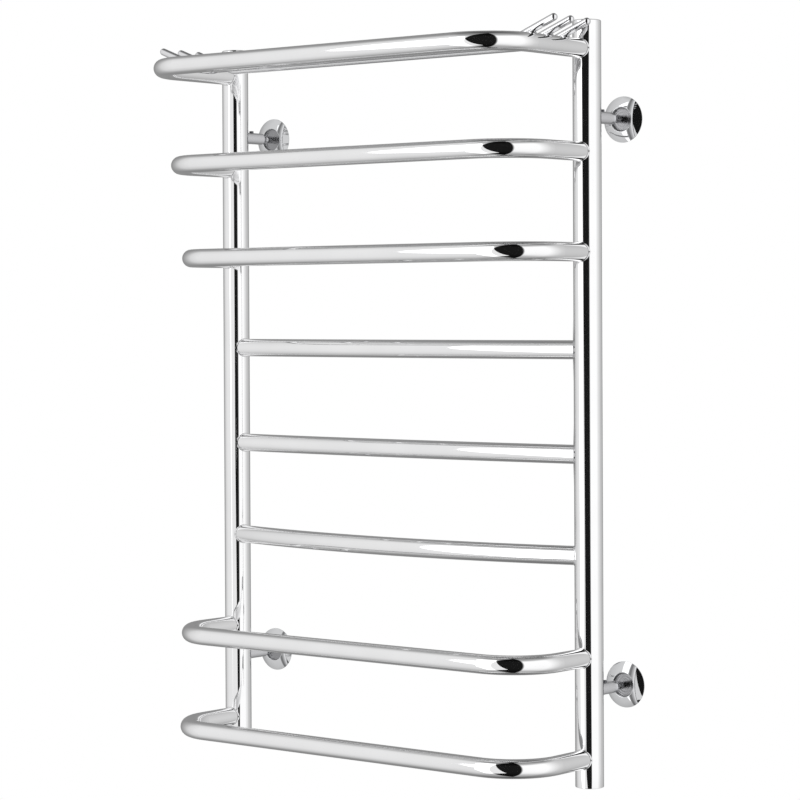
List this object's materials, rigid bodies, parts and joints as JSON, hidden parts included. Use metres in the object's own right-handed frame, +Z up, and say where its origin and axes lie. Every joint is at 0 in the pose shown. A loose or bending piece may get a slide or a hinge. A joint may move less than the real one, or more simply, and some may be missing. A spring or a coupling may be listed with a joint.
{
  "type": "towel warmer rack",
  "caption": "Wall-hung ladder of bent polished tubes between two collectors, with a rod shelf on the top bow, held on telescopic wall brackets to dry and warm towels.",
  "frame": {"origin": "on the wall plane, at the centre of the four wall fixings", "axes": "+X along the wall to the right of someone facing the rack, +Y into the wall, +Z up"},
  "size_m": [0.558, 0.228, 0.8],
  "materials": {
    "tube_steel": "mirror polished stainless steel",
    "rod_steel": "mirror polished stainless steel",
    "bracket_chrome": "polished chrome plate",
    "pin_steel": "bright turned steel",
    "screw_steel": "plain steel"
  },
  "bodies": {
    "rack": {"bottom_bush_left": "tube_steel", "bottom_bush_right": "tube_steel", "bow_1": "tube_steel", "bow_2": "tube_steel", "bow_3": "tube_steel", "bow_7": "tube_steel", "bow_8": "tube_steel", "bracket_sleeve_left_bottom": "bracket_chrome", "bracket_sleeve_left_top": "bracket_chrome", "bracket_sleeve_right_bottom": "bracket_chrome", "bracket_sleeve_right_top": "bracket_chrome", "collector_left": "tube_steel", "collector_right": "tube_steel", "rung_4": "tube_steel", "rung_5": "tube_steel", "rung_6": "tube_steel", "shelf_rod_front": "rod_steel", "shelf_rod_middle": "rod_steel", "shelf_rod_rear": "rod_steel", "top_cap_left": "tube_steel", "top_cap_right": "tube_steel", "vent_seat_left": "bracket_chrome", "vent_seat_right": "bracket_chrome"},
    "pin_left_top": {"wall_pin_left_top": "pin_steel"},
    "rosette_left_top": {"rosette_left_top": "bracket_chrome"},
    "grub_left_top": {"grub_screw_left_top": "screw_steel"},
    "pin_left_bottom": {"wall_pin_left_bottom": "pin_steel"},
    "rosette_left_bottom": {"rosette_left_bottom": "bracket_chrome"},
    "grub_left_bottom": {"grub_screw_left_bottom": "screw_steel"},
    "pin_right_top": {"wall_pin_right_top": "pin_steel"},
    "rosette_right_top": {"rosette_right_top": "bracket_chrome"},
    "grub_right_top": {"grub_screw_right_top": "screw_steel"},
    "pin_right_bottom": {"wall_pin_right_bottom": "pin_steel"},
    "rosette_right_bottom": {"rosette_right_bottom": "bracket_chrome"},
    "grub_right_bottom": {"grub_screw_right_bottom": "screw_steel"},
    "vent_left": {"vent_screw_left": "screw_steel"},
    "vent_right": {"vent_screw_right": "screw_steel"}
  },
  "joints": [
    {"name": "bracket_left_top_length", "type": "slide", "parent": "rack", "child": "pin_left_top", "axis": [0, 1, 0], "range_m": [-0.004, 0.006]},
    {"name": "rosette_left_top_slide", "type": "slide", "parent": "pin_left_top", "child": "rosette_left_top", "axis": [0, -1, 0], "range_m": [0, 0.01]},
    {"name": "grub_left_top_turn", "type": "hinge", "parent": "rack", "child": "grub_left_top", "pos_m": [-0.25, -0.0387, 0.3], "axis": [0, 0, 1], "range_deg": [0, 360]},
    {"name": "bracket_left_bottom_length", "type": "slide", "parent": "rack", "child": "pin_left_bottom", "axis": [0, 1, 0], "range_m": [-0.004, 0.006]},
    {"name": "rosette_left_bottom_slide", "type": "slide", "parent": "pin_left_bottom", "child": "rosette_left_bottom", "axis": [0, -1, 0], "range_m": [0, 0.01]},
    {"name": "grub_left_bottom_turn", "type": "hinge", "parent": "rack", "child": "grub_left_bottom", "pos_m": [-0.25, -0.0387, -0.3], "axis": [0, 0, 1], "range_deg": [0, 360]},
    {"name": "bracket_right_top_length", "type": "slide", "parent": "rack", "child": "pin_right_top", "axis": [0, 1, 0], "range_m": [-0.004, 0.006]},
    {"name": "rosette_right_top_slide", "type": "slide", "parent": "pin_right_top", "child": "rosette_right_top", "axis": [0, -1, 0], "range_m": [0, 0.01]},
    {"name": "grub_right_top_turn", "type": "hinge", "parent": "rack", "child": "grub_right_top", "pos_m": [0.25, -0.0387, 0.3], "axis": [0, 0, 1], "range_deg": [0, 360]},
    {"name": "bracket_right_bottom_length", "type": "slide", "parent": "rack", "child": "pin_right_bottom", "axis": [0, 1, 0], "range_m": [-0.004, 0.006]},
    {"name": "rosette_right_bottom_slide", "type": "slide", "parent": "pin_right_bottom", "child": "rosette_right_bottom", "axis": [0, -1, 0], "range_m": [0, 0.01]},
    {"name": "grub_right_bottom_turn", "type": "hinge", "parent": "rack", "child": "grub_right_bottom", "pos_m": [0.25, -0.0387, -0.3], "axis": [0, 0, 1], "range_deg": [0, 360]},
    {"name": "vent_left_turn", "type": "hinge", "parent": "rack", "child": "vent_left", "pos_m": [-0.25, -0.066, 0.382], "axis": [0, 1, 0], "range_deg": [0, 360]},
    {"name": "vent_right_turn", "type": "hinge", "parent": "rack", "child": "vent_right", "pos_m": [0.25, -0.066, 0.382], "axis": [0, 1, 0], "range_deg": [0, 360]}
  ]
}
